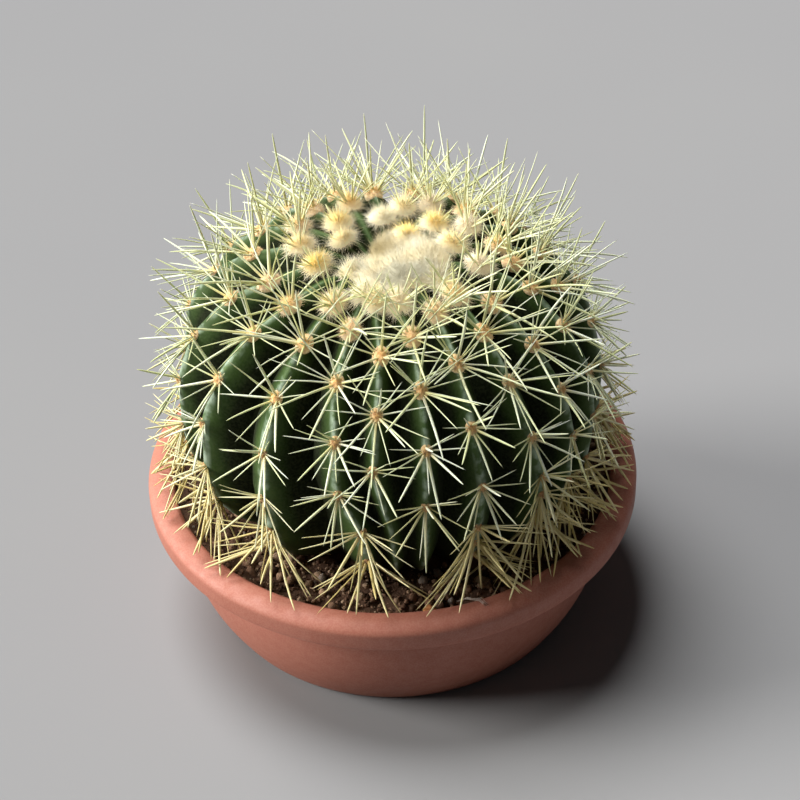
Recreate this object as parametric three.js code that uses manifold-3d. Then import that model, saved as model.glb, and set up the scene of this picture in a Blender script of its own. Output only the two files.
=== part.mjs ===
// A round, ribbed cactus in a low terracotta bowl pot.
// Millimetres, +Z up. The origin is the centre of the pot's foot, on the surface that it stands on.
import * as THREE from 'three';
import { mergeVertices } from 'three/addons/utils/BufferGeometryUtils.js';
import Module from 'manifold-3d';

const wasm = await Module();
wasm.setup();

// Pot: a low bowl with a rounded rim collar, a foot ring and a drain hole
const potHeight = 63;
const rimOuterRadius = 100;
const rimInnerRadius = 89.3;
const collarBottom = 52;
const bellyRadius = 87.5;
const bellyHeight = 37;
const footRadius = 74.9;
const footRingWidth = 7;
const footRecess = 2.5;
const bowlCurve = 1.9;
const wallThickness = 6.2;
const floorTop = 8;
const drainRadius = 8;
const potSegments = 54;

// Soil: fills the bowl to a little under the rim, with a plain hole for the foot of the plant
const soilTop = 55;
const soilGap = 0.45;
const soilSegments = 56;
const crumbCount = 44;
const crumbSize = { least: 1.3, most: 2.8 };
const crumbBand = { from: 67, width: 16 };
const crumbLift = 0.3;
const soilRise = { atPlant: 0.6, atWall: 0.4, underWall: 0.3 };
const soilFromPlant = 1.4;

// Plant: the line along the crest of a rib is a superellipse with a dip at the crown
const crestRadius = 83.3;
const crestHalfHeight = 62;
const widestHeight = 105;
const squareness = 2.49;
const crownDip = 12;
const crownDipRadius = 20;
const ribDepth = 12;
const grooveOpens = { from: 14, to: 75 };
const grooveCloses = { from: 150, to: 200 };
const narrowGap = 14;
const flankDrop = 0.4;

// Every rib in order round the plant, by its first spine cushions: the angle of each from the
// front towards the right in degrees, and its distance along the crest from the crown.
// Further down a rib goes on at its last angle, with evenly spaced cushions.
const ribs = [
  [[-52, 47], [-55, 64], [-56.5, 86], [-58.5, 107], [-59, 128.5]],
  [[-48, 20], [-31.5, 38.5], [-33.5, 58], [-34.5, 80.5], [-35, 102.5], [-35.5, 123.5], [-35, 140.5]],
  [[-16, 31], [-17, 48], [-17, 69.5], [-15, 91], [-14, 112], [-8.2, 129.5], [-7.5, 147]],
  [[-7, 34], [-3, 58], [-4, 80], [-5, 101], [-1, 128], [0, 150]],
  [[7, 35], [10, 51], [9.5, 72], [9, 94], [8, 117.5]],
  [[25, 43], [23.5, 65], [22, 89], [23, 114], [22, 133.5]],
  [[41, 39.5], [39, 58], [37.5, 78.5], [39, 102], [42, 122.5]],
  [[43.5, 30], [52.5, 50.5], [52.5, 72], [53.5, 92.5], [55, 115]],
  [[73, 38], [74, 59], [69, 77]],
  [[85, 50]],
  [[96, 27.5], [97, 44.5], [100, 64]],
  [[115.5, 37], [117, 57]],
  [[130.5, 27.5], [132, 44]],
  [[146, 18], [150, 38]],
  [[165, 31]],
  [[182, 24.5], [185, 47]],
  [[201, 38]],
  [[222, 28], [219, 46]],
  [[239, 21], [238, 40.5]],
  [[261, 34], [259, 54], [257, 74]],
  [[288, 29], [286.5, 47.5], [282, 63.5]],
];

// Spine cushions sit along each crest: close together at the crown, evenly spaced further down,
// and close together again over the soil. Two ribs have none in their lower part.
const lastCushion = 152;
const cushionStep = 21.8;
const crownCrowding = 19;
const stackedFrom = 121;
const stackedStep = 13.5;
const shortRibs = { 3: 101, 4: 117.5 };

// Spines of one cushion: their turn about its facing from straight down the rib, the lean
// from that facing, both in degrees, and their length
const spinePattern = [
  { turn: 0, lean: 36, length: 24 },
  { turn: 75, lean: 54, length: 22 },
  { turn: -75, lean: 54, length: 22 },
  { turn: 160, lean: 20, length: 27 },
  { turn: -135, lean: 42, length: 22 },
];
const spineRadius = 0.8;
const spineSink = 3;
const spineReach = 98.5;
const spineSides = 3;
const spineSpread = { turn: 24, lean: 12, length: 0.16 };
const youngSpines = { length: 0.5, openness: 0.62 };
const spinesGrow = { from: 20, to: 48 };
const spinesOpen = { from: 20, to: 70 };
const crownFacing = { away: 0.38, up: 0.92 };
const facingTurns = { from: 20, to: 48 };
const tipClearance = { rim: 1.8, soil: 6, rimMargin: 3 };
const liftStep = 0.04;

// Crown wool: a lobed cushion in the dip, drawn out towards the back
const woolCentre = { x: 6.5, y: -9 };
const woolRadius = 14.6;
const woolReach = { more: 9.5, towards: 196, spread: 26 };
const woolThickness = 7;
const woolGap = 0.5;
const woolSegments = 40;
const woolLobes = { count: 9, depth: 0.05 };
const woolEdge = 0.8;
const woolBumps = 0.75;

const degrees = THREE.MathUtils.degToRad;

// How far a change along the plant has gone at a distance from the crown, from 0 to 1
function shareAlong(distance, change) {
  return THREE.MathUtils.smoothstep(distance, change.from, change.to);
}

function seededRandom(seed) {
  let state = seed;
  return () => {
    state = (state * 1664525 + 1013904223) % 4294967296;
    return state / 4294967296;
  };
}

// A closed three.js geometry as a solid that can be joined or cut
function toSolid(geometry) {
  const bare = geometry.clone();
  bare.deleteAttribute('normal');
  bare.deleteAttribute('uv');
  const merged = mergeVertices(bare, 1e-4);
  return new wasm.Manifold(new wasm.Mesh({
    numProp: 3,
    vertProperties: merged.attributes.position.array,
    triVerts: new Uint32Array(merged.index.array),
  }));
}

// Joins solids and keeps the one large body, without loose scraps or sealed hollows
function fuse(solids) {
  const joined = wasm.Manifold.union(solids);
  const bodies = joined.decompose();
  return bodies.reduce((largest, body) => (body.volume() > largest.volume() ? body : largest));
}

function toGeometry(solid) {
  const mesh = solid.getMesh();
  const geometry = new THREE.BufferGeometry();
  geometry.setAttribute('position', new THREE.BufferAttribute(mesh.vertProperties, 3));
  geometry.setIndex(new THREE.BufferAttribute(mesh.triVerts, 1));
  geometry.computeVertexNormals();
  return geometry;
}

// A point at an angle from the front towards the right
function aroundAxis(radius, angle, height) {
  return new THREE.Vector3(radius * Math.sin(angle), -radius * Math.cos(angle), height);
}

// A closed surface of rings between a top pole and a bottom pole
function ringSurface(top, rings, bottom) {
  const columns = rings[0].length;
  const points = [top, ...rings.flat(), bottom];
  const last = points.length - 1;
  const at = (row, column) => 1 + row * columns + (column % columns);
  const faces = [];
  for (let column = 0; column < columns; column += 1) {
    faces.push(0, at(0, column), at(0, column + 1));
    faces.push(last, at(rings.length - 1, column + 1), at(rings.length - 1, column));
  }
  for (let row = 0; row + 1 < rings.length; row += 1) {
    for (let column = 0; column < columns; column += 1) {
      faces.push(at(row, column), at(row + 1, column), at(row + 1, column + 1));
      faces.push(at(row, column), at(row + 1, column + 1), at(row, column + 1));
    }
  }
  return new THREE.BufferGeometry().setFromPoints(points).setIndex(faces);
}

function arc(centreX, centreY, radiusX, radiusY, from, to, steps) {
  const points = [];
  for (let step = 0; step <= steps; step += 1) {
    const angle = degrees(from + ((to - from) * step) / steps);
    const x = centreX + radiusX * Math.cos(angle);
    const y = centreY + radiusY * Math.sin(angle);
    points.push(new THREE.Vector2(x, y));
  }
  return points;
}

function bowlRadius(height) {
  const fall = Math.max(0, bellyHeight - height) / bellyHeight;
  return bellyRadius - (bellyRadius - footRadius) * fall ** bowlCurve;
}

// Inside of the pot: straight under the rim, in to the bowl wall under the collar, round to the floor
function potInside() {
  const wall = (height) => new THREE.Vector2(bowlRadius(height) - wallThickness, height);
  return [
    new THREE.Vector2(rimInnerRadius - 0.4, collarBottom + 1),
    new THREE.Vector2(bellyRadius - wallThickness, collarBottom - 8),
    wall(bellyHeight - 4),
    wall(20),
    new THREE.Vector2(footRadius - wallThickness - 2, floorTop + 2),
    new THREE.Vector2(footRadius - wallThickness - 6, floorTop),
  ];
}

function potGeometry() {
  const underside = [
    new THREE.Vector2(drainRadius, footRecess),
    new THREE.Vector2(footRadius - footRingWidth - 1.5, footRecess),
    new THREE.Vector2(footRadius - footRingWidth, 0),
    new THREE.Vector2(footRadius - 1, 0),
  ];
  const outside = [1.2, 9, 18, 27, 38].map((height) => new THREE.Vector2(bowlRadius(height), height));
  const collar = [
    new THREE.Vector2(bellyRadius - 0.3, collarBottom),
    ...arc(rimOuterRadius - 1.2, collarBottom + 1.2, 1.2, 1.2, -90, 0, 2),
    ...arc(rimOuterRadius - 6, potHeight - 3.6, 6, 3.6, 0, 90, 3),
    ...arc(rimInnerRadius + 1.6, potHeight - 1.6, 1.6, 1.6, 90, 180, 1),
  ];
  const profile = [
    ...underside,
    ...outside,
    ...collar,
    ...potInside(),
    new THREE.Vector2(drainRadius, floorTop),
    underside[0].clone(),
  ];
  const geometry = new THREE.LatheGeometry(profile, potSegments);
  geometry.rotateX(Math.PI / 2);
  return geometry;
}

// The crest line of a rib from the crown's centre to the middle of the buried foot
function makeCrestLine() {
  const steps = 120;
  const points = [];
  for (let step = 0; step <= steps; step += 1) {
    const latitude = Math.PI / 2 - (Math.PI * step) / steps;
    const radius = crestRadius * Math.max(0, Math.cos(latitude)) ** (2 / squareness);
    const rise = Math.sign(latitude) * crestHalfHeight * Math.abs(Math.sin(latitude)) ** (2 / squareness);
    const dip = latitude > 0 ? crownDip * Math.exp(-((radius / crownDipRadius) ** 2)) : 0;
    points.push(new THREE.Vector2(radius, widestHeight + rise - dip));
  }
  const line = new THREE.SplineCurve(points);
  line.arcLengthDivisions = 2000;
  return line;
}

const crestLine = makeCrestLine();
const crestLength = crestLine.getLength();

// Radius, height and outward direction of the crest line, at a distance along it from the crown
function crestAt(distance) {
  const share = THREE.MathUtils.clamp(distance / crestLength, 0, 1);
  const point = crestLine.getPointAt(share);
  const tangent = crestLine.getTangentAt(share);
  return { radius: point.x, height: point.y, outward: new THREE.Vector2(-tangent.y, tangent.x) };
}

// Grooves open out from the crown and close again where the plant goes into the soil
function grooveDepth(distance) {
  return ribDepth * shareAlong(distance, grooveOpens) * (1 - shareAlong(distance, grooveCloses));
}

// The angle of a rib's crest in radians, at a distance along it
function crestAngle(rib, distance) {
  const after = rib.findIndex((cushion) => cushion[1] > distance);
  if (after === 0) return degrees(rib[0][0]);
  if (after < 0) return degrees(rib[rib.length - 1][0]);
  const [fromAngle, from] = rib[after - 1];
  const [toAngle, to] = rib[after];
  return degrees(THREE.MathUtils.mapLinear(distance, from, to, fromAngle, toAngle));
}

// Crests, flanks and grooves round the plant at one distance: the angle of each, and how
// deep it lies as a share of the rib's depth. Grooves between close ribs are shallower.
function bodyColumns(distance) {
  const crests = ribs.map((rib) => crestAngle(rib, distance));
  return crests.flatMap((angle, index) => {
    const next = index + 1 < crests.length ? crests[index + 1] : crests[0] + 2 * Math.PI;
    const fullness = Math.min(1, (next - angle) / degrees(narrowGap));
    return [0, flankDrop, 1, flankDrop].map((groove, quarter) => ({
      angle: angle + ((next - angle) * quarter) / 4,
      groove: groove * fullness,
    }));
  });
}

function bodyGeometry() {
  const distances = [8, 20, 32, 46, 61, 77, 94, 111, 128, 145, 163, 180, 193, 212];
  const rings = distances.map((distance) => {
    const crest = crestAt(distance);
    const depth = grooveDepth(distance);
    return bodyColumns(distance).map(({ angle, groove }) => aroundAxis(
      crest.radius - crest.outward.x * depth * groove,
      angle,
      crest.height - crest.outward.y * depth * groove,
    ));
  });
  const top = aroundAxis(0, 0, crestAt(0).height);
  const bottom = aroundAxis(0, 0, crestAt(crestLength).height);
  return ringSurface(top, rings, bottom);
}

// Distances along a crest at which its spine cushions sit
function cushionDistances(ribIndex) {
  const isShort = ribIndex in shortRibs;
  const end = isShort ? shortRibs[ribIndex] : lastCushion;
  const distances = ribs[ribIndex].map((cushion) => cushion[1]).filter((distance) => distance <= end);
  const after = (distance) => {
    const evenStep = cushionStep * (1 - Math.exp(-distance / crownCrowding));
    return distance + (distance < stackedFrom ? evenStep : stackedStep);
  };
  let distance = after(distances[distances.length - 1]);
  while (!isShort && distance <= end) {
    distances.push(distance);
    distance = after(distance);
  }
  return distances;
}

// The way a cushion faces: outward, but at the crown up and a little away from the wool
function cushionFacing(distance, angle) {
  const outward = crestAt(distance).outward;
  const share = shareAlong(distance, facingTurns);
  const facing = aroundAxis(crownFacing.away, angle, crownFacing.up).multiplyScalar(1 - share);
  return facing.add(aroundAxis(outward.x, angle, outward.y).multiplyScalar(share)).normalize();
}

// Turns a spine up until its tip is clear of the soil and the rim
function liftClear(root, direction, length) {
  const isLow = () => {
    const tip = root.clone().addScaledVector(direction, length);
    const overRim = Math.hypot(tip.x, tip.y) > rimInnerRadius - tipClearance.rimMargin;
    return tip.z < (overRim ? potHeight + tipClearance.rim : soilTop + tipClearance.soil);
  };
  while (isLow()) {
    direction.z += liftStep;
    direction.normalize();
  }
}

// The length at which a spine's tip stays within the reach of the others
function lengthInReach(root, direction, length) {
  const tip = root.clone().addScaledVector(direction, length);
  const excess = Math.hypot(tip.x, tip.y) - spineReach;
  return excess > 0 ? length - excess / Math.hypot(direction.x, direction.y) : length;
}

function spine(root, direction, length) {
  const needle = new THREE.ConeGeometry(spineRadius, length, spineSides);
  needle.translate(0, length / 2, 0);
  const turn = new THREE.Quaternion().setFromUnitVectors(new THREE.Vector3(0, 1, 0), direction);
  needle.applyQuaternion(turn);
  needle.translate(root.x, root.y, root.z);
  return toSolid(needle);
}

function cushionSpines(distance, angle, draw) {
  const crest = crestAt(distance);
  const facing = cushionFacing(distance, angle);
  const across = new THREE.Vector3(Math.cos(angle), Math.sin(angle), 0);
  const down = new THREE.Vector3().crossVectors(facing, across).negate();
  const growth = THREE.MathUtils.lerp(youngSpines.length, 1, shareAlong(distance, spinesGrow));
  const openness = THREE.MathUtils.lerp(youngSpines.openness, 1, shareAlong(distance, spinesOpen));
  const outward = aroundAxis(crest.outward.x, angle, crest.outward.y);
  const root = aroundAxis(crest.radius, angle, crest.height).addScaledVector(outward, -spineSink);
  return spinePattern.map((pattern) => {
    const turn = degrees(pattern.turn + spineSpread.turn * (draw() - 0.5));
    const lean = degrees(pattern.lean + spineSpread.lean * (draw() - 0.5)) * openness;
    const stretch = 1 + spineSpread.length * (draw() - 0.5);
    const length = pattern.length * growth * stretch + spineSink / 2;
    const direction = facing.clone().multiplyScalar(Math.cos(lean));
    direction.addScaledVector(down, Math.sin(lean) * Math.cos(turn));
    direction.addScaledVector(across, Math.sin(lean) * Math.sin(turn));
    liftClear(root, direction, length);
    return spine(root, direction, lengthInReach(root, direction, length));
  });
}

function cactusGeometry() {
  const draw = seededRandom(23);
  const solids = [toSolid(bodyGeometry())];
  ribs.forEach((rib, index) => {
    cushionDistances(index).forEach((distance) => {
      solids.push(...cushionSpines(distance, crestAngle(rib, distance), draw));
    });
  });
  return toGeometry(fuse(solids));
}

// Soft lumps over the top of the soil
function soilLump(radius, angle) {
  return 0.7 * Math.sin(7 * angle + 0.4 * radius)
    + 0.5 * Math.sin(13 * angle - 0.7 * radius + 1)
    + 0.4 * Math.sin(23 * angle + 1.1 * radius + 2);
}

function soilBody() {
  const hole = [crestLength, 212, 193, 180].map((distance) => {
    const { radius, height, outward } = crestAt(distance);
    return new THREE.Vector2(radius + soilGap * outward.x, height + soilGap * outward.y);
  });
  const holeRim = new THREE.Vector2(hole[3].x + soilFromPlant, soilTop + soilRise.atPlant);
  const outerRadius = rimInnerRadius - 0.4 - soilGap;
  const top = [65, 70, 75, 80, 84].map((radius) => new THREE.Vector2(radius, soilTop));
  const side = potInside().map(({ x, y }) => new THREE.Vector2(x - soilGap, y + soilRise.underWall));
  hole[0].x = 0;
  const profile = [
    ...hole,
    holeRim,
    ...top,
    new THREE.Vector2(outerRadius, soilTop + soilRise.atWall),
    ...side,
    new THREE.Vector2(0, floorTop + soilRise.underWall),
  ];
  const geometry = new THREE.LatheGeometry(profile.reverse(), soilSegments);
  const position = geometry.attributes.position;
  for (let index = 0; index < position.count; index += 1) {
    const radius = Math.hypot(position.getX(index), position.getZ(index));
    const onTop = position.getY(index) === soilTop;
    const angle = Math.atan2(position.getX(index), position.getZ(index));
    if (onTop) position.setY(index, soilTop + soilLump(radius, angle));
  }
  geometry.rotateX(Math.PI / 2);
  return toSolid(geometry);
}

// Crumbs and small stones, half sunk in the soil
function soilCrumbs() {
  const draw = seededRandom(5);
  const crumbs = [];
  for (let count = 0; count < crumbCount; count += 1) {
    const size = crumbSize.least + (crumbSize.most - crumbSize.least) * draw() ** 2;
    const crumb = new THREE.OctahedronGeometry(size);
    crumb.scale(1, 0.75 + 0.3 * draw(), 0.7 + 0.2 * draw());
    crumb.rotateX(Math.PI * draw());
    crumb.rotateZ(Math.PI * draw());
    const angle = 2 * Math.PI * ((count + 0.8 * draw()) / crumbCount);
    const radius = crumbBand.from + crumbBand.width * draw();
    const place = aroundAxis(radius, angle, soilTop + soilLump(radius, angle) + crumbLift * size);
    crumb.translate(place.x, place.y, place.z);
    crumbs.push(toSolid(crumb));
  }
  return crumbs;
}

function soilGeometry() {
  return toGeometry(fuse([soilBody(), ...soilCrumbs()]));
}

// Tufts of the wool, as lobes round its edge and bumps over its top
function woolGeometry() {
  const shares = [0.22, 0.42, 0.62, 0.8, 0.93, 1];
  const underShares = [0.97, 0.55];
  const angles = Array.from({ length: woolSegments }, (_, index) => (2 * Math.PI * index) / woolSegments);
  const outline = (angle) => {
    const aside = (angle - degrees(woolReach.towards)) / degrees(woolReach.spread);
    const lobe = 1 - woolLobes.depth * (1 + Math.sin(woolLobes.count * angle));
    return (woolRadius + woolReach.more * Math.exp(-(aside ** 2))) * lobe;
  };
  const bedAt = (radius) => crestAt(radius * 1.03).height + woolGap;
  const tuft = (share, angle) => (
    woolBumps * Math.sin(5 * angle + 7 * share) * Math.cos(9 * share + 2 * angle)
  );
  const over = (radius, angle, thickness) => {
    const place = aroundAxis(radius, angle, 0);
    place.x += woolCentre.x;
    place.y += woolCentre.y;
    place.z = bedAt(Math.hypot(place.x, place.y)) + thickness;
    return place;
  };
  const ringAt = (share, thickness) => angles.map((angle) => (
    over(share * outline(angle), angle, thickness(share, angle))
  ));
  const swell = (share, angle) => woolEdge + woolThickness * Math.sqrt(1 - share ** 2 * 0.985)
    + tuft(share, angle) * Math.min(1, 2 * share) * (1 - share);
  const rings = [
    ...shares.map((share) => ringAt(share, swell)),
    ...underShares.map((share) => ringAt(share, () => 0)),
  ];
  return ringSurface(over(0, 0, woolThickness), rings, over(0, 0, 0));
}

function part(name, geometry, color, roughness) {
  const material = new THREE.MeshStandardMaterial({ color, roughness, metalness: 0 });
  const mesh = new THREE.Mesh(geometry, material);
  mesh.name = name;
  return mesh;
}

const cactusInPot = new THREE.Group();
cactusInPot.add(part('pot', potGeometry(), 0xa9654c, 0.75));
cactusInPot.add(part('soil', soilGeometry(), 0x2e241d, 0.95));
cactusInPot.add(part('cactus', cactusGeometry(), 0x2c4a2c, 0.5));
cactusInPot.add(part('crown_wool', woolGeometry(), 0xe8dcb4, 0.95));

export default cactusInPot;
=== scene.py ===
# Round ribbed cactus in a terracotta bowl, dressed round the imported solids.
# Shapes are worked out in millimetres and turned into metres when a mesh is made.
import math
import bmesh
import bpy
import numpy as np
from mathutils import Matrix, Vector


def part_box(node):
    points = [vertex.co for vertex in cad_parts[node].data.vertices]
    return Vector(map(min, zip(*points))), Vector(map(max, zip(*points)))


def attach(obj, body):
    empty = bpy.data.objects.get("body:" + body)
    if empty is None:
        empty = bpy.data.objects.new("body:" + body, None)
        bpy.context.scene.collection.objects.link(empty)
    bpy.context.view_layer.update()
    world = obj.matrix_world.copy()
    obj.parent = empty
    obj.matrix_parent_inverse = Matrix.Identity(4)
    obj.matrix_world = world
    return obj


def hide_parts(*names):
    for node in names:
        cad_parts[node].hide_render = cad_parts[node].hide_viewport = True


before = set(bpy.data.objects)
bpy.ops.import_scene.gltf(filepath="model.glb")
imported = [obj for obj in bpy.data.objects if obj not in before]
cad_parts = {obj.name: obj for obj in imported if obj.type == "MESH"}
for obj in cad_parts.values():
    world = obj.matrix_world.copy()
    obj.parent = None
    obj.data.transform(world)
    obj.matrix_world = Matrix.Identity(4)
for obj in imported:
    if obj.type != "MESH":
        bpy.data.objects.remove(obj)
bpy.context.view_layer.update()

mm = 0.001
turn = 2 * math.pi


# Small helpers for arrays of points

def unit(vectors):
    return vectors / np.maximum(np.linalg.norm(vectors, axis=-1, keepdims=True), 1e-9)


def ease(value, low, high):
    share = np.clip((value - low) / (high - low), 0, 1)
    return share * share * (3 - 2 * share)


def evenTurns(count):
    return np.arange(count) * turn / count


def aroundAxis(radius, angle, height):
    # the angle runs from the front (-Y) towards the right (+X)
    x = radius * np.sin(angle)
    y = -radius * np.cos(angle)
    return np.stack(np.broadcast_arrays(x, y, height), axis=-1)


def driftField(points, wavelength, seed, waves=18):
    # a smooth random field of about -1 to 1, with lumps of about one wavelength
    draw = np.random.default_rng(seed)
    total = np.zeros(points.shape[:-1])
    for direction in unit(draw.normal(size=(waves, 3))):
        pace = turn / (wavelength * draw.uniform(0.7, 1.5))
        total += np.sin(points @ direction * pace + draw.uniform(0, turn))
    return total / math.sqrt(waves / 2) * 0.6


def lumpField(points, lumps):
    # drift fields added up, each given by its height, wavelength and seed
    return sum(height * driftField(points, wavelength, seed) for height, wavelength, seed in lumps)


# Mesh making

def addObject(name, data):
    added = bpy.data.objects.new(name, data)
    bpy.context.scene.collection.objects.link(added)
    return added


def makePiece(name, points, faces, material, nodes, fields=None, normals=None, smooth=True):
    # a field gives a value for each point, or for each of the equal parts that the points make up
    points = points.reshape(-1, 3)
    mesh = bpy.data.meshes.new(name)
    mesh.from_pydata((points * mm).tolist(), [], faces)
    for field, values in (fields or {}).items():
        layer = mesh.attributes.new(field, "FLOAT", "POINT")
        values = np.repeat(np.asarray(values, dtype=np.float32), len(points) // len(values))
        layer.data.foreach_set("value", values)
    mesh.polygons.foreach_set("use_smooth", [smooth] * len(mesh.polygons))
    mesh.materials.append(material)
    mesh.update()
    if normals is not None:
        mesh.normals_split_custom_set_from_vertices(normals.tolist())
    piece = addObject(name, mesh)
    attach(piece, "root")
    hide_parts(*nodes)


def gridFaces(rows, columns, first=0, closed=False):
    # quads between rings of points, and from the last ring back to the first if closed
    column = np.arange(columns)
    following = (column + 1) % columns
    row = np.arange(rows if closed else rows - 1)[:, None]
    near, far = first + row * columns, first + (row + 1) % rows * columns
    quads = np.stack([near + column, far + column, far + following, near + following], -1)
    return quads.reshape(-1, 4)


def ringFaces(rows, columns):
    # a closed skin: a top pole, rows of rings from it outward and down, and a bottom pole
    last = 1 + rows * columns
    column = np.arange(columns)
    following = (column + 1) % columns
    top = np.stack([np.zeros_like(column), 1 + column, 1 + following], -1)
    bottom = np.stack([np.full_like(column, last), last - columns + following,
                       last - columns + column], -1)
    return gridFaces(rows, columns, first=1).tolist() + top.tolist() + bottom.tolist()


def taperedTubes(paths, radii, sides):
    # one closed tube for each path, with a ring at each point but the last, which is its tip
    count, steps = paths.shape[:2]
    along = unit(paths[:, -1] - paths[:, 0])
    helper = np.where(np.abs(along[:, 2:]) < 0.8, [[0.0, 0.0, 1.0]], [[1.0, 0.0, 0.0]])
    side = unit(np.cross(along, helper))
    over = np.cross(along, side)
    angle = evenTurns(sides)
    spoke = np.cos(angle)[:, None] * side[:, None] + np.sin(angle)[:, None] * over[:, None]
    rings = paths[:, :-1, None] + radii[:, :-1, None, None] * spoke[:, None]
    each = (steps - 1) * sides + 1
    points = np.concatenate([rings.reshape(count, -1, 3), paths[:, -1:]], axis=1)
    start = (np.arange(count) * each)[:, None, None]
    column = np.arange(sides)
    final = (steps - 2) * sides
    walls = gridFaces(steps - 1, sides)[:, [0, 3, 2, 1]]
    tips = np.stack([final + column, final + (column + 1) % sides, np.full(sides, each - 1)], -1)
    faces = (start + walls).reshape(-1, 4).tolist() + (start + tips).reshape(-1, 3).tolist()
    faces += (start[:, 0] + column[::-1]).tolist()
    share = np.append(np.repeat(np.linspace(0, 1, steps)[:-1], sides), 1.0)
    return points, faces, np.tile(share, count)


# Plant: the crest line, the ribs and where the spine cushions sit

plant = {
    "crestRadius": 83.3, "halfHeight": 62.0, "widestHeight": 105.0, "squareness": 2.49,
    "crownDip": 12.0, "crownDipRadius": 20.0,
    "ribDepth": 13.0,
    "grooveOpens": (14, 75), "grooveCloses": (150, 205), "grooveTightness": 0.2,
    "narrowGap": 14.0,
    "crestRound": 0.07,
    # the crest swells a little under each cushion, more so at the crown
    "swell": {"below": 0.8, "width": 4.6, "height": 0.55, "young": 1.1, "youngUntil": (20, 60),
              "fall": 1.6},
    "lumps": [(0.28, 17, 3), (0.12, 6, 4)],
    "lumpsBegin": (10, 40),
    "oldAt": 200.0,  # the distance from the crown that counts as an age of 1
    "cushionStep": 21.8, "crownCrowding": 19.0, "lastCushion": 152.0,
    "stackedFrom": 121.0, "stackedStep": 9.0,  # over the soil the cushions stand close together
    "shortRibs": {3: 101.0, 4: 117.5},  # ribs without cushions further down than this
    "crownFacing": (0.38, 0.92), "facingTurns": (20, 48),
    "columnsPerRib": 20,
    "firstRow": 1.2, "rowStep": 1.6, "lastRows": [206, 214, 224],
    # each rib by its first cushions: angle from the front in degrees, and distance from the crown
    "ribs": [
        [(-52, 47), (-55, 64), (-56.5, 86), (-58.5, 107), (-59, 128.5)],
        [(-48, 20), (-31.5, 38.5), (-33.5, 58), (-34.5, 80.5), (-35, 102.5), (-35.5, 123.5),
         (-35, 140.5)],
        [(-16, 31), (-17, 48), (-17, 69.5), (-15, 91), (-14, 112), (-8.2, 129.5), (-7.5, 147)],
        [(-7, 34), (-3, 58), (-4, 80), (-5, 101), (-1, 128), (0, 150)],
        [(7, 35), (10, 51), (9.5, 72), (9, 94), (8, 117.5)],
        [(25, 43), (23.5, 65), (22, 89), (23, 114), (22, 133.5)],
        [(41, 39.5), (39, 58), (37.5, 78.5), (39, 102), (42, 122.5)],
        [(43.5, 30), (52.5, 50.5), (52.5, 72), (53.5, 92.5), (55, 115)],
        [(73, 38), (74, 59), (69, 77)],
        [(85, 50)],
        [(96, 27.5), (97, 44.5), (100, 64)],
        [(115.5, 37), (117, 57)],
        [(130.5, 27.5), (132, 44)],
        [(146, 18), (150, 38)],
        [(165, 31)],
        [(182, 24.5), (185, 47)],
        [(201, 38)],
        [(222, 28), (219, 46)],
        [(239, 21), (238, 40.5)],
        [(261, 34), (259, 54), (257, 74)],
        [(288, 29), (286.5, 47.5), (282, 63.5)],
    ],
}


def makeCrestTable():
    latitude = np.linspace(math.pi / 2, -math.pi / 2, 4001)
    power = 2 / plant["squareness"]
    radius = plant["crestRadius"] * np.maximum(np.cos(latitude), 0) ** power
    rise = np.sign(latitude) * plant["halfHeight"] * np.abs(np.sin(latitude)) ** power
    dip = plant["crownDip"] * np.exp(-(radius / plant["crownDipRadius"]) ** 2) * (latitude > 0)
    height = plant["widestHeight"] + rise - dip
    step = np.hypot(np.diff(radius), np.diff(height))
    distance = np.concatenate([[0], np.cumsum(step)])
    even = np.linspace(0, distance[-1], 2001)
    radius = np.interp(even, distance, radius)
    height = np.interp(even, distance, height)
    slopeR = np.gradient(radius, even)
    slopeZ = np.gradient(height, even)
    return even, radius, height, -slopeZ, slopeR


crestTable = makeCrestTable()
crestLength = crestTable[0][-1]


def crestAt(distance):
    # radius, height and outward direction (radial, up) at a distance along a crest from the crown
    return [np.interp(distance, crestTable[0], column) for column in crestTable[1:]]


def crestAngle(rib, distance):
    marks = np.array(rib, dtype=float)
    return np.radians(np.interp(distance, marks[:, 1], marks[:, 0]))


def cushionDistances(index):
    end = plant["shortRibs"].get(index, plant["lastCushion"])
    found = [distance for _, distance in ribs[index] if distance <= end]
    while index not in plant["shortRibs"]:
        step = plant["cushionStep"] * (1 - math.exp(-found[-1] / plant["crownCrowding"]))
        if found[-1] >= plant["stackedFrom"]:
            step = plant["stackedStep"]
        if found[-1] + step > end:
            break
        found.append(found[-1] + step)
    return np.array(found)


ribs = plant["ribs"]
ribCushions = [cushionDistances(index) for index in range(len(ribs))]


def grooveDepth(distance):
    opening = ease(distance, *plant["grooveOpens"])
    return plant["ribDepth"] * opening * (1 - ease(distance, *plant["grooveCloses"]))


def grooveShare(across):
    # 0 on the crest and 1 in the groove: a rounded crest, full flanks and a tight groove
    tight, rounding = plant["grooveTightness"], plant["crestRound"]
    soft = np.sqrt(across ** 2 + rounding ** 2) - rounding
    soft = soft / (math.sqrt(1 + rounding ** 2) - rounding)
    return (1 - tight) * soft + tight * soft ** 4


def cushionSwell(distance, cushions):
    swell = plant["swell"]
    near = np.exp(-(((distance[:, None] - cushions - swell["below"]) / swell["width"]) ** 2))
    return near @ (swell["height"] + swell["young"] * (1 - ease(cushions, *swell["youngUntil"])))


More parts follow.
